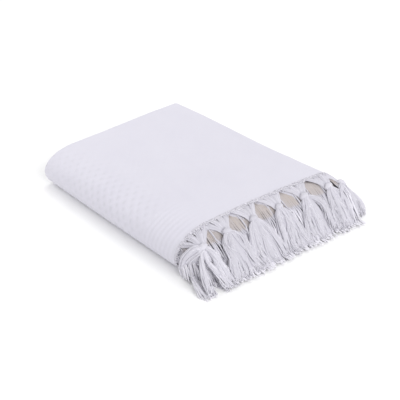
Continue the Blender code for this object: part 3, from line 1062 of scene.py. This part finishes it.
def add_lock(heap, line, yarns, tones, chance):
    """Yarns wound loosely about a line, around a soft core, splaying at the tips."""
    core = line[:-1]
    core_radii = [ring["flat"] * CORE_SHARE for ring in core]
    add_tube(heap, settled([ring["centre"] for ring in core]), core_radii, CORE_SIDES, tones[0])
    turns = LOCK_TURNS * chance.choice((-1, 1))
    for number in range(yarns):
        angle = YARN_TURN * number + chance.uniform(-YARN_TURN_STRAY, YARN_TURN_STRAY)
        ring = INNER_RING + RING_GROWTH * math.sqrt((number + 0.5) / yarns)
        trim = chance.uniform(*YARN_TRIMS)
        curl = chance.uniform(*YARN_CURLS) * MM
        pace, phase = chance.uniform(*YARN_PACES), chance.uniform(*PHASES)
        tone = chance.uniform(*tones)
        thick = YARN_RADIUS * chance.uniform(*YARN_WIDTHS)
        path, radii = [], []
        for count in range(len(line)):
            share = count / (len(line) - 1)
            at = share * trim * (len(line) - 1)
            low = min(int(at), len(line) - 2)
            here, ahead = line[low], line[low + 1]
            part = at - low
            centre = here["centre"].lerp(ahead["centre"], part)
            wide = here["wide"] + (ahead["wide"] - here["wide"]) * part
            flat = here["flat"] + (ahead["flat"] - here["flat"]) * part
            turn = angle + turns * share * (1 - share)
            wave_at = pace * share + phase
            side = math.cos(turn) * ring * wide + curl * share * math.sin(wave_at)
            rise = math.sin(turn) * ring * flat + curl * share * (1 + math.cos(wave_at)) / 3
            spot = centre + here["across"] * side + here["out"] * rise
            radius = thick * (1 - YARN_TAPER * share)
            spot.z = max(spot.z, radius)
            path.append(spot)
            radii.append(radius)
        path = settled(path)
        add_tube(heap, path, radii, YARN_SIDES, tone)
        add_tip_fibres(heap, path, chance)
        add_stray(heap, path, chance)


print("a lock turns", LOCK_TURNS / 4, "radians at most")

# %% [markdown]
# ## The tassel below the knot
#
# A tassel is wide and soft: it opens below the knot, falls over the edges of the cloth and lies
# on the floor. Tubes alone would leave gaps between them, so a soft grooved body is laid first,
# and five locks with their own lengths and turns lie on it. Between the layers there is room
# only for plain thin yarns.

# %% The soft body
LOCK_ROOT = 3.0 * MM
TIP_INSET = 7 * MM
OPENING = 0.5
BODY_SIDES = 40
BODY_RINGS = 11
BODY_GROOVES = 13
GROOVE_DEPTH = 0.22
GROOVE_TURN = 2
BODY_FLAT = 3.4 * MM
BODY_THINNING = 0.4
BODY_END = 0.86
BODY_SPREAD = 31 * MM
BODY_WIDTHS = (0.65, 0.85)
BODY_LEAN = 4


def tuft_length(tassel):
    """How far the yarns reach along x from the knot to the tips."""
    return PACKET_LENGTH + tassel["reach"] * MM - TIP_INSET - TUFT_START


def add_body(heap, tassel, chance):
    """The soft grooved body of a tassel, which the locks lie on."""
    first = len(heap["points"])
    full = tuft_length(tassel)
    width = chance.uniform(*BODY_WIDTHS)
    lean = chance.uniform(-1, 1) * BODY_LEAN * MM
    for step in range(BODY_RINGS):
        share = BODY_END * step / (BODY_RINGS - 1)
        middle, across, out = tassel_frame(tassel, TUFT_START + full * share)
        wide = LOCK_ROOT + BODY_SPREAD * share**OPENING * width
        flat = BODY_FLAT * (1 - BODY_THINNING * share)
        centre = middle + out * (flat - THICKNESS / 2) + across * (lean * share)
        for turn in range(BODY_SIDES):
            angle = 2 * math.pi * turn / BODY_SIDES
            groove = 1 + GROOVE_DEPTH * math.cos(BODY_GROOVES * angle + GROOVE_TURN * share)
            side = across * (wide * math.cos(angle))
            spot = centre + side + out * (flat * groove * math.sin(angle))
            uv = (turn / BODY_SIDES * BODY_GROOVES, full * share)
            add_point(heap, placed(spot), uv, YARN_TONE)
    add_rings(heap, first, BODY_RINGS, BODY_SIDES)


print("body of a tassel:", BODY_RINGS * BODY_SIDES, "points")

# %% Five locks on it
LOCK_STEPS = 12
TIP_TRIM = 0.15
# A lock has its full girth after three quarters of its way, and splays over the last two thirds
LOCK_GROWTH = 2.6 * MM
TIP_WIDENING = 0.5
TIP_FLATTENING = 0.4
LOCK_SIZES = (0.75, 1.25)
LOCK_SPREAD = 27.5 * MM
LOCK_STRAY = 0.38
CORNER_STRAY = 0.3
# In millimetres: how far the whole tassel sways, each lock in it, and how far a lock is bent
TASSEL_SWAY = 4
LOCK_SWAY = 5
LOCK_BEND = 5
EVEN_SPREADS = (-1, -0.5, 0, 0.5, 1)
CORNER_SPREADS = (-0.75, 0.45, 0.65, 0.85, 1.05)


def add_locks(heap, tassel, chance):
    """Five locks of loose yarns, from the knot to the floor."""
    full = tuft_length(tassel)
    corner = is_corner(tassel)
    if tassel["leg"] > TUCK and not corner:
        add_body(heap, tassel, chance)
    # Painted light: the corner and the low tassels get lighter tones than the other yarns
    tones = CORNER_PAINTED_LIGHT_TONES if corner else YARN_TONES if tassel["leg"] > SHOULDER else LOW_PAINTED_LIGHT_TONES
    swing = chance.uniform(-1, 1) * TASSEL_SWAY * MM
    for spread in CORNER_SPREADS if corner else EVEN_SPREADS:
        spread += chance.uniform(-LOCK_STRAY, LOCK_STRAY) * (CORNER_STRAY if corner else 1)
        trim = 1 - TIP_TRIM * chance.random()
        sway = swing + chance.uniform(-1, 1) * LOCK_SWAY * MM
        bend_size = chance.uniform(-1, 1) * LOCK_BEND * MM
        size = chance.uniform(*LOCK_SIZES)
        line = []
        for step in range(LOCK_STEPS + 1):
            share = step / LOCK_STEPS
            middle, across, out = tassel_frame(tassel, TUFT_START + full * share * trim)
            lock_radius = size * (LOCK_ROOT + LOCK_GROWTH * ease(share * 1.3))
            splay = ease(share * 1.5 - 0.5)
            wide = lock_radius * (1 + TIP_WIDENING * splay)
            flat = lock_radius * (1 - TIP_FLATTENING * splay)
            side = spread * LOCK_SPREAD * share**OPENING
            side += sway * math.sin(math.pi * share) + bend_size * math.sin(2 * math.pi * share)
            centre = middle + across * side + out * (flat - THICKNESS / 2)
            line.append({"centre": centre, "across": across, "out": out, "wide": wide, "flat": flat})
        add_lock(heap, line, tassel["yarns"], tones, chance)


print("a shown tassel has", len(EVEN_SPREADS), "locks")

# %% Plain locks between the layers
HIDDEN_LOCK = 1.3 * MM
HIDDEN_WIDTH = 1.6
HIDDEN_SPREAD = 22 * MM
HIDDEN_STEPS = 6


def add_hidden_locks(heap, tassel, chance):
    """The plain yarns of a tassel between the layers, thin enough to clear its neighbours."""
    full = tuft_length(tassel)
    for lock in range(LOCKS):
        for number in range(tassel["yarns"]):
            angle = 2 * math.pi * number / tassel["yarns"] + lock
            trim = 1 - TIP_TRIM * chance.random()
            path = []
            for step in range(HIDDEN_STEPS + 1):
                share = step / HIDDEN_STEPS
                middle, across, out = tassel_frame(tassel, TUFT_START + full * share * trim)
                side = (2 * lock / (LOCKS - 1) - 1) * HIDDEN_SPREAD * share
                side += HIDDEN_LOCK * HIDDEN_WIDTH * math.cos(angle)
                rise = HIDDEN_LOCK * (1 + math.sin(angle)) - THICKNESS / 2
                spot = middle + across * side + out * rise
                spot.z = max(spot.z, YARN_RADIUS)
                path.append(spot)
            add_tube(heap, settled(path), [YARN_RADIUS] * len(path), YARN_SIDES, YARN_TONE)


print("a hidden tassel has", LOCKS, "plain locks")

# %% [markdown]
# ## The corner
#
# At the corner with the big fold some of the warp doesn't fall to the front. Ten thick cords
# leave the knot there, lie in arcs along the rolled end of the cloth and run down to the floor.
# Each is a lock along a smooth line, and all the lines lie evenly between two that are given.

# %% Cords around the corner
# The line that the cords share, as millimetres past the edge and places of the winding
CORNER_LINE = (
    {"past": 27, "place": SHOULDER + 0.45},
    {"past": 17, "place": SHOULDER + 0.15},
    {"past": 13, "place": TUCK + 0.62},
    {"past": 20, "place": TUCK + 0.25},
)
# The outer and the inner cord, in millimetres: depth in the roll, how much further out it lies,
# how far its tail reaches and how far aside; the other cords lie evenly between these two
OUTER_CORD = {"depth": 1, "past": 2, "tail": 50, "aside": -4}
INNER_CORD = {"depth": -30, "past": 27, "tail": 86, "aside": 33}
CORNER_CORDS = 10
CORD_STRAY = 1.8
CORD_RADIUS = 3.8 * MM
CORD_YARNS = 8
CORD_STEPS = 4
# How much wider a cord opens over its last third, and in millimetres how far its end lies on the
# floor, ahead and aside
CORD_OPENING = 1.2
TAIL_AHEAD = 16
TAIL_ASIDE = 6
CORD_START = 2 * MM


def through(points, steps):
    """A smooth line through a few points."""
    line = []
    for number in range(len(points) - 1):
        before = points[max(number - 1, 0)]
        first, second = points[number], points[number + 1]
        after = points[min(number + 2, len(points) - 1)]
        for step in range(steps):
            t = step / steps
            bow = (second - before) * (t - 2 * t * t + t**3) / 2 + (after - first) * (t**3 - t * t) / 2
            line.append(first + (second - first) * ease(t) + bow)
    return line + [points[-1]]


def add_corner(heap, tassel, chance):
    """Thick cords from the knot at the corner, in arcs around the rolled end of the cloth."""
    root, across = tassel_frame(tassel, TUFT_START)[:2]
    for number in range(CORNER_CORDS):
        share = number / (CORNER_CORDS - 1)
        cord = {}
        for key, outer in OUTER_CORD.items():
            stray = chance.uniform(-CORD_STRAY, CORD_STRAY)
            cord[key] = outer + (INNER_CORD[key] - outer) * share + stray
        depth = OUTER_DEPTH + cord["depth"] * MM
        points = [root - across * CORD_START]
        for spot in CORNER_LINE:
            x = PACKET_LENGTH + (spot["past"] + cord["past"]) * MM
            points.append(Vector(on_winding(x, depth, spot["place"])))
        y = points[-1].y + cord["aside"] * MM
        bend_x = PACKET_LENGTH + (cord["tail"] - TAIL_AHEAD) * MM
        points.append(Vector((bend_x, y, 2 * CORD_RADIUS)))
        points.append(Vector((PACKET_LENGTH + cord["tail"] * MM, y + TAIL_ASIDE * MM, CORD_RADIUS)))
        centres = through(points, CORD_STEPS)
        line = []
        for count, centre in enumerate(centres):
            ahead = centres[min(count + 1, len(centres) - 1)] - centres[max(count - 1, 0)]
            side = ahead.cross(tassel_frame(tassel, centre.x)[2]).normalized()
            rise = side.cross(ahead).normalized()
            wide = CORD_RADIUS * (1 + CORD_OPENING * ease(count / (len(centres) - 1) * 3 - 2))
            ring = {"centre": centre, "across": side, "out": rise, "wide": wide, "flat": CORD_RADIUS}
            line.append(ring)
        add_lock(heap, line, CORD_YARNS, CORNER_PAINTED_LIGHT_TONES, chance)


print("corner:", CORNER_CORDS, "cords of", CORD_YARNS, "yarns")

# %% [markdown]
# ## The gaps between the tassels
#
# Between the tassels one doesn't look into an empty hollow. Loose yarns of the fringe below hang
# there side by side like a curtain: painted in warm shade at the top, and painted light again lower
# down, where they come forward between the tassels. Around the corner the curtain is short and
# painted light, so that the cords stay in sight. A few single yarns of the upper fringe cross the
# gaps.

# %% Curtain of loose yarns
# Each curtain: distance between yarns, radius, how far it lies below the tassels, its waves, tones;
# the tones of the shaded curtain are painted shade
SHADED_CURTAIN = {
    "step": 1.7 * MM, "radius": 1.6 * MM, "below": 0.2 * MM, "waves": 2 * MM, "tones": (0, 0.12)
}
LOOSE_YARNS = {
    "step": 31 * MM, "radius": 1.8 * MM, "below": 1 * MM, "waves": 6 * MM, "tones": (0.5, 0.8)
}
CURTAIN_FROM = TUCK + 0.4
CURTAIN_TO = FAR_FOLD + 0.8
# In millimetres past the edge, as the reach of a tassel is
CURTAIN_SHORT = 14
CURTAIN_REACH = 94
CURTAIN_STRAY = 8
CURTAIN_GROWTH = 110 * MM
CURTAIN_DROOP = 1.75
FAR_DROOP = 2.5
CURTAIN_DRIFT = 4
CURTAIN_SWAY = 45
CURTAIN_PACES = (0.4, 0.9)
CURTAIN_STEPS = 9
CURTAIN_RISE = 4 * MM
# How far each ring of a curtain yarn has come out of the painted shade into painted light, from the
# edge to the tip
SHADE_END = 0.3
SHADE_BLEND = 0.2
CURTAIN_LIT = [
    ease((ring / CURTAIN_STEPS - SHADE_END) / SHADE_BLEND) for ring in range(CURTAIN_STEPS + 1)
]


def add_curtain(heap, depth, curtain, chance):
    """Loose yarns side by side along the edge, behind the tassels or between them."""
    weft = weft_at(CURTAIN_FROM)
    while weft < weft_at(CURTAIN_TO):
        place = place_at(weft)
        leg = int(place)
        grown = ease((weft - weft_at(CURTAIN_FROM)) / CURTAIN_GROWTH)
        reach = CURTAIN_SHORT + (CURTAIN_REACH - CURTAIN_SHORT) * grown
        yarn = {
            "start": on_winding(0, depth, place)[1:],
            "along": LEGS[leg]["at"](place - leg)[2:],
            "reach": reach + chance.uniform(-CURTAIN_STRAY, CURTAIN_STRAY),
            "rest": 0,
            "droop": FAR_DROOP if leg == FAR_FOLD else CURTAIN_DROOP,
            "drift": CURTAIN_DRIFT * math.sin(weft * CURTAIN_SWAY),
        }
        pace, phase = chance.uniform(*CURTAIN_PACES), chance.uniform(*PHASES)
        path = []
        for step in range(CURTAIN_STEPS + 1):
            x = STRIP_END + (yarn["reach"] * MM - STRIP_END + PACKET_LENGTH) * step / CURTAIN_STEPS
            middle, across, out = tassel_frame(yarn, x)
            swing = curtain["waves"] * math.sin(pace * step + phase) * CURTAIN_LIT[step]
            rise = CURTAIN_RISE * CURTAIN_LIT[step] - curtain["below"] * min(step, 1)
            spot = middle + out * rise + across * swing
            spot.z = max(spot.z, curtain["radius"])
            path.append(spot)
        # Painted shade and light: the tone starts at the curtain's own tones, warm grey painted shade
        # for the shaded curtain, is painted light near the corner, and rises towards LIT_TONE where the
        # yarn comes forward
        tone = max(chance.uniform(*curtain["tones"]), 1 - 2 * grown)
        tones = [tone + max(LIT_TONE - tone, 0) * lit for lit in CURTAIN_LIT]
        add_tube(heap, settled(path), [curtain["radius"]] * len(path), YARN_SIDES, tones)
        weft += curtain["step"]


print("curtain:", round((weft_at(CURTAIN_TO) - weft_at(CURTAIN_FROM)) / SHADED_CURTAIN["step"]), "yarns")

# %% [markdown]
# ## The last woven rows
#
# Between the cloth and the fringe runs a narrow strip, beaten tighter than the rest. It follows
# the edge all along the winding, as one flat tube. Cut ends and short fibres curl out of it.

# %% The strip along the edge
STRIP_START = PACKET_LENGTH + 0.1 * MM
HALF_STRIP = THICKNESS / 2
STRIP_RING = (
    (STRIP_START, HALF_STRIP),
    (STRIP_START + 0.1 * MM, HALF_STRIP * 1.1),
    (STRIP_START + 0.3 * MM, HALF_STRIP * 1.1),
    (STRIP_END - 1 * MM, HALF_STRIP),
    (STRIP_END, HALF_STRIP * 0.3),
    (STRIP_END, -HALF_STRIP * 0.3),
    (STRIP_END - 1 * MM, -HALF_STRIP),
    (STRIP_START + 0.3 * MM, -HALF_STRIP),
    (STRIP_START, -HALF_STRIP),
)


def add_strip(heap, depth):
    """The narrow strip beside the cloth's edge."""
    first = len(heap["points"])
    for place in PLACES:
        for number, (x, out) in enumerate(STRIP_RING):
            uv = (number / len(STRIP_RING), weft_at(place))
            add_point(heap, placed(on_winding(x, depth + out, place)), uv, FRONT_TONE)
    add_rings(heap, first, len(PLACES), len(STRIP_RING))


print("strip:", round((STRIP_END - STRIP_START) / MM, 1), "mm wide")


# %% Fluff along the edge
FLUFF_STEP = 1.2 * MM
FLUFF_FROM = TUCK + 0.2
FLUFF_TO = FAR_FOLD + 0.6
FLUFF_REACH = 5 * MM
# In millimetres: where the fibres start past the edge, and how high they curl
FLUFF_STARTS = (0, 9)
FLUFF_HEIGHTS = (0.6, 1.6)
FLUFF_CURL = 2.6
FLUFF_RADII = [0.7 * MM, 0.8 * MM, 0.7 * MM, 0.3 * MM]


def add_fluff(heap, depth, chance):
    """Short curled fibres that stand out of the last woven rows."""
    weft = weft_at(FLUFF_FROM)
    while weft < weft_at(FLUFF_TO):
        start = PACKET_LENGTH + chance.uniform(*FLUFF_STARTS) * MM
        lean = chance.uniform(-1, 1) * FLUFF_REACH / 2
        reach = chance.uniform(0.4, 1) * FLUFF_REACH
        high = chance.uniform(*FLUFF_HEIGHTS) * MM
        path = []
        for step in range(len(FLUFF_RADII)):
            share = step / (len(FLUFF_RADII) - 1)
            lift = depth + THICKNESS / 2 + high * math.sin(FLUFF_CURL * share)
            place = place_at(weft + lean * share)
            path.append(Vector(on_winding(start + reach * share, lift, place)))
        # Painted light: the fluff gets LIT_TONE, lighter than the yarns
        add_tube(heap, settled(path), FLUFF_RADII, FIBRE_SIDES, LIT_TONE)
        weft += FLUFF_STEP


print("fluff:", round((weft_at(FLUFF_TO) - weft_at(FLUFF_FROM)) / FLUFF_STEP), "fibres")

# %% [markdown]
# ## The finish of the yarn
#
# The fringe is the same cotton without its weave: plied yarn, with plies that turn about every
# 4 mm. That is too fine to show in the picture, so they are drawn at twice that. The colour
# follows the tone of each point, from painted warm shade on the yarns in the gaps, over the cool
# white of the tassels, to a painted highlight, near white, on single fibres.

# %% Cotton yarn
TWIST_PITCH = 4 * MM
# A diagonal wave of this scale has one band in two pitches
TWIST_BANDS = 0.31
TWIST_DEPTH = 0.2 * MM
# Cells of noise in a metre: lint of about 1 mm
LINT_CELLS = 900.0
YARN_COLOURS = ((YARN_TONE, "C5C3CC"), (FRONT_TONE, "D4D2DB"))

yarn_finish, tree, shader = new_finish("bleached cotton, plied yarn")
place = add_node(tree, "UVMap", {"uv_map": "around and along"}).outputs["UV"]
turns = add_node(tree, "Mapping", {"Scale": (1.0, 1 / TWIST_PITCH, 1)}, {"Vector": place})
twist = add_node(
    tree,
    "TexWave",
    {"bands_direction": "DIAGONAL", "Scale": TWIST_BANDS, "Distortion": 1.0, "Detail": 1.0},
    {"Vector": turns.outputs["Vector"]},
).outputs["Fac"]
where = add_node(tree, "TexCoord").outputs["Object"]
lint = add_node(tree, "TexNoise", {"Scale": LINT_CELLS, "Detail": 2.0}, {"Vector": where})
surface = add_node(tree, "Math", {"operation": "ADD"}, {0: twist, 1: lint.outputs["Fac"]})
height = surface.outputs["Value"]
bump = add_node(tree, "Bump", {"Strength": 0.5, "Distance": TWIST_DEPTH}, {"Height": height})
tone = add_node(tree, "Attribute", {"attribute_name": "tone"}).outputs["Fac"]
yarn_colour_and_painted_light = add_node(tree, "ValToRGB", links={"Fac": tone})
# Painted shade at 0, warm grey, and a painted highlight at 1, near white; the stops between are the
# yarns' own colours
yarn_colour_and_painted_light.color_ramp.elements[0].color = colour("BDB4B0")
yarn_colour_and_painted_light.color_ramp.elements[1].color = colour("EEECF3")
for spot, shade in YARN_COLOURS:
    stop = yarn_colour_and_painted_light.color_ramp.elements.new(spot)
    stop.color = colour(shade)
tree.links.new(yarn_colour_and_painted_light.outputs["Color"], shader.inputs["Base Color"])
tree.links.new(bump.outputs["Normal"], shader.inputs["Normal"])
set_cotton(shader, roughness=0.95, sheen=0.3)
print("finish:", yarn_finish.name)


# %% Make the two fringes
def make_fringe(name, tassels, depth, seed):
    """One fringe in one mesh: its strip, knots, groups, tassels, cords, fluff and loose yarns."""
    chance = random.Random(seed)
    heap = new_heap()
    add_strip(heap, depth)
    knots = len(heap["points"])
    for tassel in tassels:
        add_knot(heap, tassel, chance)
    for number in range(knots, len(heap["points"])):
        heap["points"][number] = placed(heap["points"][number])
    for tassel in tassels:
        add_groups(heap, tassel, chance)
        if shown(tassel):
            add_locks(heap, tassel, chance)
        else:
            add_hidden_locks(heap, tassel, chance)
    if depth == OUTER_DEPTH:
        for tassel in filter(is_corner, tassels):
            add_corner(heap, tassel, chance)
        add_fluff(heap, depth, chance)
        add_curtain(heap, depth, LOOSE_YARNS, chance)
    else:
        add_curtain(heap, depth, SHADED_CURTAIN, chance)
    for point in heap["points"]:
        point.z = max(point.z, 0)
    mesh = closed_mesh(name, heap["points"], heap["faces"])
    mark_points(mesh, "around and along", heap["uv"], "tone", heap["tone"])
    mesh.materials.append(yarn_finish)
    print(name, count_triangles(mesh), "triangles")
    return as_piece(mesh)


fringe_outer = make_fringe("bedspread_fringe_outer", outer_tassels, OUTER_DEPTH, 5)
fringe_inner = make_fringe("bedspread_fringe_inner", inner_tassels, INNER_DEPTH, 11)

# %% [markdown]
#
# Each piece rides on the one body and stands for its solid, which is hidden.

# %% Ride and replace
for piece, node, slot in (
    (cloth, "cloth", "waffle_cotton"),
    (fringe_outer, "fringe_outer", "cotton_yarn"),
    (fringe_inner, "fringe_inner", "cotton_yarn"),
):
    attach(piece, "root")
    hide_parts(node)
